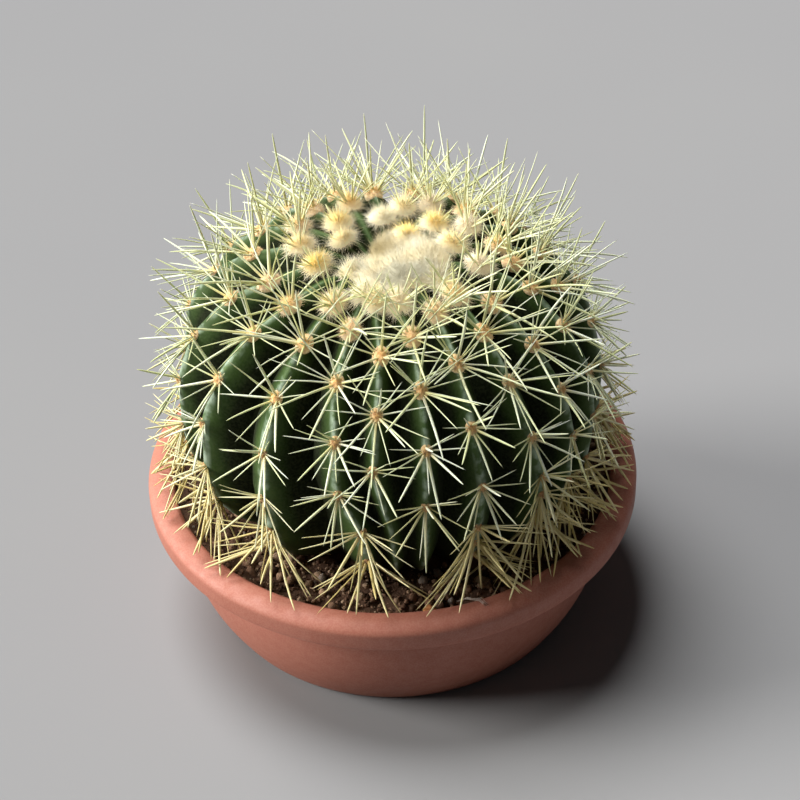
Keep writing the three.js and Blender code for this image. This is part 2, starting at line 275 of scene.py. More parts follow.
def plantSkin(material):
    grown = np.arange(plant["firstRow"], plant["oldAt"], plant["rowStep"])
    distances = np.concatenate([grown, plant["lastRows"]])
    radius, height, outR, outZ = crestAt(distances)
    depth = grooveDepth(distances)
    share = np.arange(plant["columnsPerRib"]) / plant["columnsPerRib"]
    across = 1 - np.abs(2 * share - 1)
    columns = []
    crests = [crestAngle(rib, distances)[:, None] for rib in ribs]
    crests.append(crests[0] + turn)
    for index in range(len(ribs)):
        angle, nextAngle = crests[index], crests[index + 1]
        own = cushionSwell(distances, ribCushions[index])[:, None]
        neighbour = cushionSwell(distances, ribCushions[(index + 1) % len(ribs)])[:, None]
        swell = np.where(share < 0.5, own, neighbour) * (1 - across) ** plant["swell"]["fall"]
        fullness = np.minimum(1, (nextAngle - angle) / math.radians(plant["narrowGap"]))
        out = swell - depth[:, None] * grooveShare(across) * fullness
        columns.append(aroundAxis(radius[:, None] + outR[:, None] * out,
                                  angle + (nextAngle - angle) * share[None],
                                  height[:, None] + outZ[:, None] * out))
    rings = np.concatenate(columns, axis=1)
    spread = np.tile(across, len(ribs))
    outward = aroundAxis(outR[:, None], np.arctan2(rings[..., 0], -rings[..., 1]), outZ[:, None])
    begun = ease(distances, *plant["lumpsBegin"])[:, None]
    lumps = lumpField(rings, plant["lumps"]) * begun * (0.3 + 0.7 * spread)
    rings = rings + outward * lumps[..., None]
    top, bottom = [[0, 0, crestAt(end)[1]] for end in (0.0, crestLength)]
    points = np.concatenate([[top], rings.reshape(-1, 3), [bottom]])
    groove = np.concatenate([[0], np.tile(spread, len(distances)), [0]])
    age = np.concatenate([[0], np.repeat(distances / plant["oldAt"], len(spread)), [1.2]])
    makePiece("ribbed_body", points, ringFaces(*rings.shape[:2]), material, ["cactus"],
              {"groove": groove, "age": age})


def makeCushions():
    # every cushion as one row: place on the crest, directions and distance from the crown
    rows = []
    for rib, cushions in zip(ribs, ribCushions):
        for distance in cushions:
            angle = crestAngle(rib, distance)
            radius, height, outR, outZ = crestAt(distance)
            swell = cushionSwell(np.array([distance]), cushions)[0]
            outward = aroundAxis(outR, angle, outZ)
            place = aroundAxis(radius, angle, height) + outward * swell
            crown = unit(aroundAxis(plant["crownFacing"][0], angle, plant["crownFacing"][1]))
            share = ease(distance, *plant["facingTurns"])
            facing = unit(crown * (1 - share) + outward * share)
            across = np.array([math.cos(angle), math.sin(angle), 0])
            rows.append((place, outward, facing, across, -np.cross(facing, across), distance))
    names = ["place", "outward", "facing", "across", "down", "distance"]
    return {name: np.array([row[k] for row in rows]) for k, name in enumerate(names)}


cushions = makeCushions()
print(f"{len(ribs)} ribs and {len(cushions['distance'])} spine cushions")


# Spines

spines = {
    # each fan by turn from straight down the rib, lean from the cushion's facing, length, radius
    "central": {
        "fan": [(0, 68, 25.5, 0.5), (44, 46, 23.5, 0.46), (-48, 46, 23.5, 0.46),
                (175, 20, 27.0, 0.47)],
        "stations": [0, 0.06, 0.3, 0.58, 0.8, 0.92, 0.98, 1],
        "girth": [1.35, 1.08, 1.0, 0.9, 0.74, 0.52, 0.26, 0],
        "sides": 7, "skip": 0.02, "bend": 0.1,
    },
    "radial": {
        "fan": [(side * angle, *rest) for angle, *rest in
                [(22, 58, 20.0, 0.32), (72, 62, 22.0, 0.34), (90, 68, 20.0, 0.32),
                 (112, 64, 17.5, 0.3), (138, 52, 18.0, 0.3)] for side in (1, -1)],
        "stations": [0, 0.08, 0.4, 0.74, 0.92, 1],
        "girth": [1.3, 1.0, 0.9, 0.7, 0.42, 0],
        "sides": 5, "skip": 0.08, "bend": 0.09,
    },
    # more thin spines on the cushions between these distances from the crown
    "upperExtra": [(60, 40, 25.0, 0.36), (-130, 38, 24.0, 0.36), (135, 42, 23.0, 0.34)],
    "extraBand": (34, 84),
    "reach": 98.0, "top": 184.0,
    "soilClear": 56.6, "rimClear": 64.2, "rimInner": 87.0, "liftStep": 0.05,
    "sunk": 0.9, "offset": (0.5, 1.3),
    # how much turn, lean, length and girth vary from spine to spine
    "turnSpread": 7, "leanSpread": 6, "lengthSpread": (0.84, 1.12), "girthSpread": (0.85, 1.15),
    # the value at the crown, what is added, and the distances over which that comes
    "growth": (0.18, 0.82, 21, 48), "openness": (0.5, 0.5, 14, 62),
    # the distances over which each zone begins and ends
    "upper": ((22, 40), (62, 84)), "middle": ((78, 92), (112, 130)), "skirt": (118, 140),
    "upperLength": 0.26,  # spines round the crown are longer and more curved than half way down
    "middleLength": -0.14,
    "skirtLength": 0.3, "skirtGirth": 0.3,  # the lowest hang down as a skirt, longer and thicker
    "skirtGaps": 0.12,
    # young spines that point to the crown stay short
    "innerShort": 0.6, "innerTurn": 140, "innerGrows": (30, 62),
}


def liftClear(root, direction, length):
    # tilts the spines up until their tips are clear of the soil and the rim
    for _ in range(60):
        tip = root + direction * length[:, None]
        overRim = np.hypot(tip[:, 0], tip[:, 1]) > spines["rimInner"]
        low = tip[:, 2] < np.where(overRim, spines["rimClear"], spines["soilClear"])
        if not low.any():
            break
        direction[low] = unit(direction[low] + [0, 0, spines["liftStep"]])
    return direction


def keepInReach(root, direction, length):
    tip = root + direction * length[:, None]
    flat = np.maximum(np.hypot(direction[:, 0], direction[:, 1]), 0.05)
    excess = np.maximum(np.hypot(tip[:, 0], tip[:, 1]) - spines["reach"], 0) / flat
    rise = np.maximum(tip[:, 2] - spines["top"], 0) / np.maximum(direction[:, 2], 0.05)
    return length - np.maximum(excess, rise)


def spinePiece(kind, seed, material):
    look = spines[kind]
    draw = np.random.default_rng(seed)
    distance = cushions["distance"]
    number = len(distance)
    paths, radii, ages, tints = [], [], [], []
    growth, openness = [start + gain * ease(distance, low, high) for start, gain, low, high in
                        (spines["growth"], spines["openness"])]
    upper, middle = [ease(distance, *begins) * (1 - ease(distance, *ends)) for begins, ends in
                     (spines["upper"], spines["middle"])]
    skirt = ease(distance, *spines["skirt"])
    stretch = (1 + spines["upperLength"] * upper + spines["middleLength"] * middle
               + spines["skirtLength"] * skirt)
    extra = spines["upperExtra"] if kind == "radial" else []
    for position, (angle, lean, reach, thick) in enumerate(look["fan"] + extra):
        astray = draw.normal(0, spines["turnSpread"], number)
        spun = np.radians(angle * (1 - 0.25 * skirt) + astray)
        leaning = np.radians(lean + draw.normal(0, spines["leanSpread"], number)) * openness
        inner = spines["innerShort"] * (abs(angle) > spines["innerTurn"])
        upward = 1 - inner * (1 - ease(distance, *spines["innerGrows"]))
        length = reach * growth * stretch * upward * draw.uniform(*spines["lengthSpread"], number)
        inPlane = (cushions["down"] * np.cos(spun)[:, None]
                   + cushions["across"] * np.sin(spun)[:, None])
        direction = unit(cushions["facing"] * np.cos(leaning)[:, None]
                         + inPlane * np.sin(leaning)[:, None])
        root = (cushions["place"] - cushions["outward"] * spines["sunk"]
                + inPlane * draw.uniform(*spines["offset"], number)[:, None])
        direction = liftClear(root, direction, length)
        length = keepInReach(root, direction, length)
        kept = draw.random(number) > look["skip"] + spines["skirtGaps"] * skirt
        if position >= len(look["fan"]):
            kept &= (distance > spines["extraBand"][0]) & (distance < spines["extraBand"][1])
        share = np.array(look["stations"])[None, :, None]
        bend = draw.uniform(0, look["bend"], number) * (1 + 1.2 * upper)
        sway = unit(cushions["facing"] + draw.normal(0, 0.5, (number, 3))) * bend[:, None]
        straight = root[:, None] + direction[:, None] * length[:, None, None] * share
        path = straight + (sway * length[:, None])[:, None] * (share - share ** 2)
        width = thick * (0.72 + 0.28 * growth) * (1 + spines["skirtGirth"] * skirt)
        width = width * draw.uniform(*spines["girthSpread"], number)
        paths.append(path[kept])
        radii.append((width[:, None] * np.array(look["girth"])[None])[kept])
        ages.append(distance[kept] / plant["oldAt"])
        tints.append(draw.random(number)[kept])
    paths, radii = np.concatenate(paths), np.concatenate(radii)
    points, faces, along = taperedTubes(paths, radii, look["sides"])
    fields = {"along": along, "age": np.concatenate(ages), "tint": np.concatenate(tints)}
    makePiece(f"{kind}_spines", points, faces, material, ["cactus"], fields)


# Felt pads on the cushions, and the fibres that stand out of them

felt = {
    "oldHalfWidth": 1.5, "youngExtra": 3.4, "fading": 70.0, "stretch": 1.32,
    "crownSize": (0.75, 0.25, 20, 50),  # share at the crown, what is added, over which distances
    "bulge": 0.44, "youngBulge": 0.4, "bulgeFading": 34,
    "lumps": [(0.4, 1.6, 42)], "roughness": 0.07,
    "skirtDrop": 2.6, "rootDrop": 3.4,
    "rings": 8, "sectors": 18,
    "fibres": 110, "fibresFrom": 36, "fibreRadius": 0.07, "fibreLength": (0.6, 1.5),
    "tuftFibres": 2400, "tuftLength": 4.8, "tuftFibreRadius": 0.066,
    "tuftsThin": (30, 58), "tuftsShorten": (28, 56),
    "goldSkew": 1.2,
}

hair = {
    "points": 5,
    "narrowing": 0.7, "sunk": 0.3, "wave": 0.3, "tilt": 0.35, "twist": 0.25,
}

# some young tufts show a golden middle and others are cream
tuftGold = np.random.default_rng(40).random(len(cushions["distance"])) ** felt["goldSkew"]


def padSizes():
    distance = cushions["distance"]
    share, gain, low, high = felt["crownSize"]
    half = felt["oldHalfWidth"] + felt["youngExtra"] * np.exp(-(distance / felt["fading"]) ** 2)
    half = half * (share + gain * ease(distance, low, high))
    young = np.exp(-(distance / felt["bulgeFading"]) ** 2)
    return half, half * felt["stretch"], half * (felt["bulge"] + felt["youngBulge"] * young)


def padPoint(index, share, angle, half, long, height):
    # a point on the domed pad of a cushion, draped over the crest
    sideways = half[index] * share * np.sin(angle)
    lengthways = long[index] * share * np.cos(angle)
    droop = 0.3 * np.abs(sideways) + 0.035 * lengthways ** 2
    rise = height[index] * np.sqrt(np.maximum(1 - share ** 2, 0)) - 0.35 - droop
    place = cushions["place"][index] + cushions["down"][index] * lengthways[..., None]
    place = place + cushions["across"][index] * sideways[..., None]
    return place + cushions["outward"][index] * rise[..., None]


def feltPads(material):
    draw = np.random.default_rng(41)
    sizes = padSizes()
    rings, sectors = felt["rings"], felt["sectors"]
    count = len(cushions["distance"])
    index = np.arange(count)[:, None, None]
    share = np.append(np.sin(np.linspace(0.2, 1, rings) * math.pi / 2), 0.9)[None, :, None]
    angle = evenTurns(sectors)[None, None]
    shape = (count, rings + 1, sectors)
    points = padPoint(np.broadcast_to(index, shape), np.broadcast_to(share, shape),
                      np.broadcast_to(angle, shape), *sizes)
    lumps = lumpField(points, felt["lumps"]) + draw.normal(0, felt["roughness"], shape)
    points = points + cushions["outward"][:, None, None] * lumps[..., None]
    points[:, -1] -= cushions["outward"][:, None] * felt["skirtDrop"]
    top = padPoint(index[:, 0, 0], np.zeros(count), np.zeros(count), *sizes)
    under = cushions["place"] - cushions["outward"] * felt["rootDrop"]
    one = ringFaces(rings + 1, sectors)
    each = 2 + (rings + 1) * sectors
    points = points.reshape(count, -1, 3)
    points = np.concatenate([top[:, None], points, under[:, None]], axis=1)
    faces = [[corner + each * k for corner in face] for k in range(count) for face in one]
    rim = np.concatenate([[0], np.repeat(share[0, :, 0], sectors), [1]])
    fields = {"age": cushions["distance"] / plant["oldAt"], "rim": np.tile(rim, count),
              "tint": draw.random(count), "gold": tuftGold}
    makePiece("felt_pads", points, faces, material, ["cactus"], fields)


def softHairs(root, direction, length, radius, mass, draw):
    # flat tapering hairs, bent once and shaded like the soft mass that they grow from
    steps = np.array([0.0, 0.5, 1.0])[None, :, None]
    paths = root[:, None] + direction[:, None] * (length[:, None] * steps - hair["sunk"])
    wave = draw.normal(0, hair["wave"], root.shape)[:, None]
    paths = paths + wave * length[:, None] * steps ** 2
    tilt = mass + [0, 0, hair["tilt"]] + draw.normal(0, hair["twist"], root.shape)
    across = unit(np.cross(direction, tilt))[:, None]
    wide, narrow = radius * across, hair["narrowing"] * radius * across
    points = np.concatenate([paths[:, :1] - wide, paths[:, :1] + wide, paths[:, 1:2] + narrow,
                             paths[:, 1:2] - narrow, paths[:, 2:]], axis=1)
    first = np.arange(len(root))[:, None] * hair["points"]
    faces = (first + [0, 1, 2, 3]).tolist() + (first + [3, 2, 4]).tolist()
    return points, faces, np.repeat(unit(mass), hair["points"], axis=0)


def cushionHairs(name, material, draw, index, share, hairs):
    # a piece made of hairs that grow on cushions, one index and one place on the pad for each hair
    points, faces, normals = hairs
    fields = {"age": cushions["distance"][index] / plant["oldAt"], "tint": draw.random(len(index)),
              "rim": share, "gold": tuftGold[index]}
    makePiece(name, points, faces, material, ["cactus"], fields, normals)


def hairRoots(draw, amount, reach):
    # roots spread over the pads, with the cushion and the place on its pad of each
    index = np.repeat(np.arange(len(amount)), amount)
    share = np.sqrt(draw.random(len(index))) * reach
    root = padPoint(index, share, draw.uniform(0, turn, len(index)), *padSizes())
    return root, index, share, cushions["outward"][index]


def tuftFibres(material):
    # long soft wool on the young cushions round the crown, which makes round tufts of them
    draw = np.random.default_rng(44)
    distance = cushions["distance"]
    amount = np.round(felt["tuftFibres"] * (1 - ease(distance, *felt["tuftsThin"]))).astype(int)
    root, index, share, outward = hairRoots(draw, amount, 1.02)
    spread = unit(root - cushions["place"][index] - outward * 0.3)
    young = 1 - 0.75 * ease(distance[index], *felt["tuftsShorten"])[:, None]
    direction = unit(spread + draw.normal(0, 0.5, root.shape))
    length = felt["tuftLength"] * young * draw.uniform(0.3, 1.0, (len(index), 1)) + 0.4
    mass = unit(direction * 0.35 + spread * 0.5 + outward)
    hairs = softHairs(root, direction, length, felt["tuftFibreRadius"], mass, draw)
    cushionHairs("tuft_fibres", material, draw, index, share, hairs)


def feltFibres(material):
    draw = np.random.default_rng(43)
    amount = np.where(cushions["distance"] > felt["fibresFrom"], felt["fibres"], 0)
    root, index, share, outward = hairRoots(draw, amount, 0.98)
    spread = unit(root - cushions["place"][index] + outward * 1.5)
    direction = unit(spread + draw.normal(0, 0.42, root.shape) + outward * 0.15)
    length = draw.uniform(*felt["fibreLength"], (len(index), 1))
    hairs = softHairs(root, direction, length, felt["fibreRadius"], spread, draw)
    cushionHairs("felt_fibres", material, draw, index, share, hairs)


# Crown wool

wool = {
    "centre": (6.8, -9.5), "radius": 15.6,
    "reach": 9.5, "reachAngle": 196.0, "reachSpread": 28.0,  # further towards the back
    "thickness": 6.0, "bedGap": 0.4,
    "lumps": [(1.1, 6.0, 51), (0.5, 2.6, 52)], "lobes": 9, "lobeDepth": 0.05,
    "rings": 26, "sectors": 96,
    "fibres": 58000, "fibreRadius": 0.06, "fibreLength": (1.8, 5.2),
    "swirlSize": 9, "clumps": [(0.45, 4.5, 56)],
    "pit": (-3.5, 6.0), "pitRadius": 7.5, "pitDepth": 0.9,
}


def woolRadius(angle):
    aside = (angle - math.radians(wool["reachAngle"])) / math.radians(wool["reachSpread"])
    return wool["radius"] + wool["reach"] * np.exp(-aside ** 2)


def woolTop(x, y):
    # height of the wool's top over the crown, with a soft pit behind the middle
    offX, offY = x - wool["centre"][0], y - wool["centre"][1]
    share = np.clip(np.hypot(offX, offY) / woolRadius(np.arctan2(offX, -offY) % turn), 0, 1)
    bed = crestAt(np.hypot(x, y) * 1.03)[1] + wool["bedGap"]
    pit = np.exp(-((x - wool["pit"][0]) ** 2 + (y - wool["pit"][1]) ** 2) / wool["pitRadius"] ** 2)
    swell = wool["thickness"] * np.sqrt(1 - 0.985 * share ** 2)
    return bed + swell * (1 - wool["pitDepth"] * pit), pit


def woolPlace(radius, angle):
    return aroundAxis(radius, angle, 0.0) + [*wool["centre"], 0]


def crownWool(material):
    rings, sectors = wool["rings"], wool["sectors"]
    share = np.sin(np.linspace(0.04, 1, rings) * math.pi / 2)[:, None]
    angle = evenTurns(sectors)[None]
    lobes = 1 - wool["lobeDepth"] * (1 + np.sin(wool["lobes"] * angle)) * share
    radius = woolRadius(angle) * share * lobes
    flat = woolPlace(radius, angle)
    flat[..., 2], pit = woolTop(flat[..., 0], flat[..., 1])
    flat[..., 2] += lumpField(flat, wool["lumps"]) * (1 - share ** 4)
    underside = woolPlace(radius[-1] * 0.97, angle[0])
    underside[:, 2] = crestAt(np.hypot(underside[:, 0], underside[:, 1]))[1] + wool["bedGap"] - 0.2
    middle = woolPlace(0.0, 0.0)
    top = middle + [0, 0, woolTop(middle[0], middle[1])[0]]
    bottom = middle + [0, 0, crestAt(np.hypot(middle[0], middle[1]))[1] + wool["bedGap"]]
    points = np.concatenate([[top], flat.reshape(-1, 3), underside, [bottom]])
    pits = np.concatenate([[0], pit.ravel(), np.zeros(sectors + 1)])
    upward = np.tile([0.0, 0.0, 1.0], (len(points), 1))
    makePiece("crown_wool_bed", points, ringFaces(rings + 1, sectors), material,
              ["crown_wool"], {"pit": pits, "tint": [0.5]}, upward)


def crownFibres(material):
    draw = np.random.default_rng(53)
    count = wool["fibres"]
    angle = draw.uniform(0, turn, count)
    share = np.sqrt(draw.random(count)) * 0.99
    root = woolPlace(woolRadius(angle) * share, angle)
    root[:, 2], pit = woolTop(root[:, 0], root[:, 1])
    outward = aroundAxis(share, angle, 0.0)
    swirl = [driftField(root, wool["swirlSize"], seed) for seed in (54, 55)]
    swirl = np.stack([*swirl, np.zeros(count)], -1)
    loose = draw.normal(0, 0.5, root.shape)
    direction = unit(outward * 0.8 + swirl * 0.7 + [0, 0, 0.65] + loose)
    clump = 1 + lumpField(root, wool["clumps"])[:, None]
    length = draw.uniform(*wool["fibreLength"], (count, 1)) * clump * (1 - 0.45 * pit[:, None])
    mass = unit(outward * 0.15 + swirl * 0.4 + direction * 0.55 + [0, 0, 0.85])
    points, faces, normals = softHairs(root, direction, length, wool["fibreRadius"], mass, draw)
    makePiece("crown_wool_fibres", points, faces, material, ["crown_wool"],
              {"pit": pit, "tint": draw.random(count)}, normals)


# Pot

potLow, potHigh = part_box("pot")
pot = {
    "height": potHigh.z / mm,
    "rimOuter": potHigh.x / mm, "rimInner": 89.3, "collarBottom": 52.0,
    "belly": 87.5, "bellyHeight": 37.0, "bowlCurve": 1.9, "wall": 6.2,
    "foot": 74.9, "footRing": 7.0, "footRecess": 2.5,
    "floorTop": 8.0, "drain": 8.0,
    "uneven": [(0.12, 70, 61)], "shrink": 0.14,
    "sectors": 200,
}


def sectionArc(centreR, centreZ, radiusR, radiusZ, start, end, steps):
    angle = np.radians(np.linspace(start, end, steps))
    return np.stack([centreR + radiusR * np.cos(angle), centreZ + radiusZ * np.sin(angle)], -1)


def bowlRadius(height):
    fall = np.maximum(0, pot["bellyHeight"] - height) / pot["bellyHeight"]
    return pot["belly"] - (pot["belly"] - pot["foot"]) * fall ** pot["bowlCurve"]


def potSection():
    collar, top, belly, wall = [pot[name] for name in ("collarBottom", "height", "belly", "wall")]
    foot, recess, floorTop, drain = [pot[name] for name in
                                     ("foot", "footRecess", "floorTop", "drain")]
    ringInner, rimOuter, rimInner = foot - pot["footRing"], pot["rimOuter"], pot["rimInner"]
    heights = np.linspace(1.6, collar - 1.0, 30)
    outer = np.stack([bowlRadius(heights) - 0.3 * ease(heights, 38, 51), heights], -1)
    heights = np.linspace(collar - 9, floorTop + 8, 14)
    inner = np.stack([bowlRadius(heights) - wall, heights], -1)
    return np.concatenate([
        [[drain + 0.5, recess], [ringInner - 2, recess]],
        sectionArc(ringInner + 0.6, 0.6, 0.6, 0.6, 180, 270, 4),
        sectionArc(foot - 1.6, 1.6, 1.6, 1.6, 270, 350, 6),
        outer,
        sectionArc(belly + 1.1, collar - 1.1, 1.4, 1.1, 180, 90, 4),
        sectionArc(rimOuter - 1.3, collar + 1.3, 1.3, 1.3, -90, -5, 6),
        [[rimOuter, collar + 3.2], [rimOuter, collar + 5.2]],
        sectionArc(rimOuter - 6.4, top - 4.2, 6.4, 4.2, 4, 88, 14),
        sectionArc(rimInner + 2.4, top - 2.0, 2.4, 2.0, 100, 176, 7),
        [[rimInner - 0.2, top - 5], [rimInner - 0.4, collar + 1]],
        [[belly - wall + 1.5, collar - 5.5]],
        inner,
        sectionArc(foot - wall - 6, floorTop + 6, 6, 6, 0, -90, 6),
        [[drain + 0.5, floorTop], [drain, floorTop - 0.6], [drain, recess + 0.6]],
    ])


def bowlPot(material):
    section = potSection()[::-1]
    angle = evenTurns(pot["sectors"])[None]
    rings = aroundAxis(section[:, :1], angle, section[:, 1:])
    # the wall is a little uneven, as thrown clay is, but never further out than the mould
    uneven = lumpField(rings, pot["uneven"]) - pot["shrink"]
    outward = aroundAxis(1.0, angle, 0.0)
    rings = rings + outward * uneven[..., None] * ease(rings[..., 2:], 2, 6)
    faces = gridFaces(*rings.shape[:2], closed=True).tolist()
    makePiece("bowl_pot", rings, faces, material, ["pot"])


# Soil

soil = {
    "top": 55.0, "innerRadius": 54.0,
    "sectors": 560, "rings": 27,
    "lumps": [(0.9, 15, 71), (0.5, 6, 72)],
    "grain": [(0.35, 2.6, 73)],
    "bedTone": 0.2,
    "crumbBand": (60.0, 86.8),
    # number, subdivisions, least and most size, seed
    "large": (560, 2, 0.9, 2.8, 74),
    "small": (4200, 1, 0.35, 1.2, 75),
    "knobbly": 0.14,
    "crumbStretch": (0.55, 1.15),
    "crumbLift": (-0.1, 0.5),
}


def soilHeight(x, y):
    points = np.stack(np.broadcast_arrays(x, y, 0.0), axis=-1)
    return soil["top"] + lumpField(points, soil["lumps"]) + lumpField(points, soil["grain"])


def soilBed(material):
    low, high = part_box("soil")
    outerRadius = high.x / mm - 0.1
    angle = evenTurns(soil["sectors"])[None]
    radius = np.linspace(soil["innerRadius"], outerRadius, soil["rings"])[:, None]
    top = aroundAxis(radius, angle, 0.0)
    top[..., 2] = soilHeight(top[..., 0], top[..., 1])
    bottomHeight = low.z / mm
    sides = [(outerRadius, 53.6), (80.6, 43.6), (pot["foot"] - pot["wall"] - 6.5, bottomHeight)]
    rings = np.concatenate([top] + [aroundAxis(radius, angle, height) for radius, height in sides])
    points = np.concatenate([[[0, 0, 42.0]], rings.reshape(-1, 3), [[0, 0, bottomHeight]]])
    makePiece("soil_bed", points, ringFaces(*rings.shape[:2]), material, ["soil"],
              {"tone": [soil["bedTone"]]})


def blobShape(subdivisions):
    shape = bmesh.new()
    bmesh.ops.create_icosphere(shape, subdivisions=subdivisions, radius=1)
    points = np.array([vertex.co[:] for vertex in shape.verts])
    faces = np.array([[vertex.index for vertex in face.verts] for face in shape.faces])
    shape.free()
    return points, faces


def soilCrumbs(kind, material):
    count, subdivisions, least, most, seed = soil[kind]
    draw = np.random.default_rng(seed)
    shape, faces = blobShape(subdivisions)
    near, far = soil["crumbBand"]
    radius = np.sqrt(draw.uniform(near ** 2, far ** 2, count))
    angle = draw.uniform(0, turn, count)
    size = least + (most - least) * draw.random(count) ** 2.2
    place = aroundAxis(radius, angle, 0.0)
    lift = size * draw.uniform(*soil["crumbLift"], count)
    place[:, 2] = soilHeight(place[:, 0], place[:, 1]) + lift
    knobbly = 1 + draw.normal(0, soil["knobbly"], (count, len(shape), 1))
    stretch = draw.uniform(*soil["crumbStretch"], (count, 1, 3))
    turns = np.array([Matrix.Rotation(a, 3, Vector(v)) for a, v in
                      zip(draw.uniform(0, turn, count), draw.normal(0, 1, (count, 3)))])
    local = shape[None] * knobbly * stretch * size[:, None, None]
    points = np.einsum("nij,nkj->nki", turns, local) + place[:, None]
    faces = (faces[None] + (np.arange(count) * len(shape))[:, None, None]).reshape(-1, 3).tolist()
    makePiece(f"{kind}_crumbs", points, faces, material, ["soil"],
              {"tone": draw.random(count)}, smooth=subdivisions > 1)


# A brick crumb and a dark stone by the rim, and a pale wisp of shed wool on it

litter = {
    "brick": {"angle": 8.6, "radius": 84.6, "rise": 1.3, "size": (3.1, 2.2, 1.9), "seed": 76},
    "stone": {"angle": -12.5, "radius": 86.0, "rise": 1.0, "size": (2.4, 1.9, 1.6), "seed": 77},
    # the wisp's line by angle, radius and height
    "wisp": [(15.8, 84.2, 58.6), (17.4, 87.6, 62.4), (18.0, 89.6, 63.4), (19.6, 91.2, 63.6),
             (20.4, 95.2, 63.1)],
    "wispSteps": 9,
    "wispStrands": 8,
    "wispRadius": 0.09,
}


def lonePebble(name, material):
    look = litter[name]
    shape, faces = blobShape(3)
    points = shape * (1 + 0.22 * driftField(shape, 1.3, look["seed"]))[:, None] * look["size"]
    place = aroundAxis(look["radius"], math.radians(look["angle"]), 0.0)
    place[2] = soil["top"] + look["rise"]
    makePiece(f"{name}_crumb", points + place, faces.tolist(), material, ["soil"])


def shedWisp(material):
    draw = np.random.default_rng(81)
    strands, steps = litter["wispStrands"], litter["wispSteps"]
    marks = np.array([aroundAxis(radius, math.radians(angle), height)
                      for angle, radius, height in litter["wisp"]])
    order = np.arange(len(marks))
    stations = np.linspace(0, order[-1], steps)
    line = np.stack([np.interp(stations, order, marks[:, k]) for k in range(3)], -1)
    drift = draw.normal(0, 0.45, (strands, steps, 3)).cumsum(axis=1) * 0.45
    drift[..., 2] = np.abs(drift[..., 2]) * 0.6
    radii = np.full((strands, steps), litter["wispRadius"])
    points, faces = taperedTubes(line[None] + drift, radii, 3)[:2]
    makePiece("shed_wisp", points, faces, material, ["soil"])


# Shader building

def feed(tree, socket, value):
    # links the socket where another one is given, or else sets its value
    if isinstance(value, bpy.types.NodeSocket):
        tree.links.new(value, socket)
    else:
        socket.default_value = (*value, 1) if socket.type == "RGBA" else value


def feedAll(tree, node, values):
    for key, value in values.items():
        feed(tree, node.inputs[key.replace("_", " ")], value)


def shaderNode(tree, kind, settings=None, **values):
    node = tree.nodes.new(kind)
    for key, value in (settings or {}).items():
        setattr(node, key, value)
    feedAll(tree, node, values)
    return node


def colourRamp(tree, factor, stops):
    ramp = shaderNode(tree, "ShaderNodeValToRGB", Fac=factor)
    elements = ramp.color_ramp.elements
    elements[0].position, elements[0].color = stops[0][0], (*stops[0][1], 1)
    elements[1].position, elements[1].color = stops[-1][0], (*stops[-1][1], 1)
    for place, colour in stops[1:-1]:
        elements.new(place).color = (*colour, 1)
    return ramp.outputs["Color"]


def maskRamp(tree, factor, *stops):
    return colourRamp(tree, factor, [(place, (share,) * 3) for place, share in stops])


def mixColour(tree, factor, first, second):
    mix = shaderNode(tree, "ShaderNodeMix", {"data_type": "RGBA"})
    for index, value in ((0, factor), (6, first), (7, second)):
        feed(tree, mix.inputs[index], value)
    return mix.outputs[2]


def layered(tree, colour, *layers):
    # colours laid one over another, each with its mask
    for mask, over in layers:
        colour = mixColour(tree, mask, colour, over)
    return colour


def mathNode(tree, operation, *values):
    node = shaderNode(tree, "ShaderNodeMath", {"operation": operation})
    for socket, value in zip(node.inputs, values):
        feed(tree, socket, value)
    return node.outputs[0]


def product(tree, first, second):
    return mathNode(tree, "MULTIPLY", first, second)


def attributes(tree, *names):
    return [shaderNode(tree, "ShaderNodeAttribute", {"attribute_name": name}).outputs["Fac"]
            for name in names]


def newGroup(name, inputs, outputs):
    group = bpy.data.node_groups.new(name, "ShaderNodeTree")
    for label, value in inputs.items():
        socket = group.interface.new_socket(name=label, in_out="INPUT",
                                            socket_type="NodeSocketFloat")
        socket.default_value = value
    for label in outputs:
        group.interface.new_socket(name=label, in_out="OUTPUT", socket_type="NodeSocketFloat")
    return group, group.nodes.new("NodeGroupInput"), group.nodes.new("NodeGroupOutput")


def makePatchGroup():
    # soft patches for colour that drifts over a surface
    inputs = {"Scale": 60.0, "Detail": 3.0, "Sharpness": 0.3}
    group, given, result = newGroup("soft_patches", inputs, ["Mask"])
    place = group.nodes.new("ShaderNodeTexCoord").outputs["Object"]
    noise = shaderNode(group, "ShaderNodeTexNoise", Vector=place, Scale=given.outputs["Scale"],
                       Detail=given.outputs["Detail"])
    low = given.outputs["Sharpness"]
    high = mathNode(group, "SUBTRACT", 1.0, low)
    spread = shaderNode(group, "ShaderNodeMapRange", {"clamp": True}, Value=noise.outputs[0],
                        From_Min=low, From_Max=high)
    group.links.new(spread.outputs[0], result.inputs["Mask"])
    return group


def makeGrainGroup():
    # fine grain and sparse pits for bump
    group, given, result = newGroup("fine_grain", {"Scale": 900.0, "Pits": 0.4}, ["Height"])
    place = group.nodes.new("ShaderNodeTexCoord").outputs["Object"]
    fine = shaderNode(group, "ShaderNodeTexNoise", Vector=place, Scale=given.outputs["Scale"],
                      Detail=4.0, Roughness=0.65)
    cells = shaderNode(group, "ShaderNodeTexVoronoi", Vector=place,
                       Scale=product(group, given.outputs["Scale"], 0.35))
    pit = shaderNode(group, "ShaderNodeMapRange", {"clamp": True}, Value=cells.outputs["Distance"],
                     From_Min=0.0, From_Max=0.22, To_Min=1.0, To_Max=0.0)
    depth = product(group, pit.outputs[0], given.outputs["Pits"])
    height = mathNode(group, "SUBTRACT", fine.outputs[0], depth)
    group.links.new(height, result.inputs["Height"])
    return group


patchGroup = makePatchGroup()
grainGroup = makeGrainGroup()


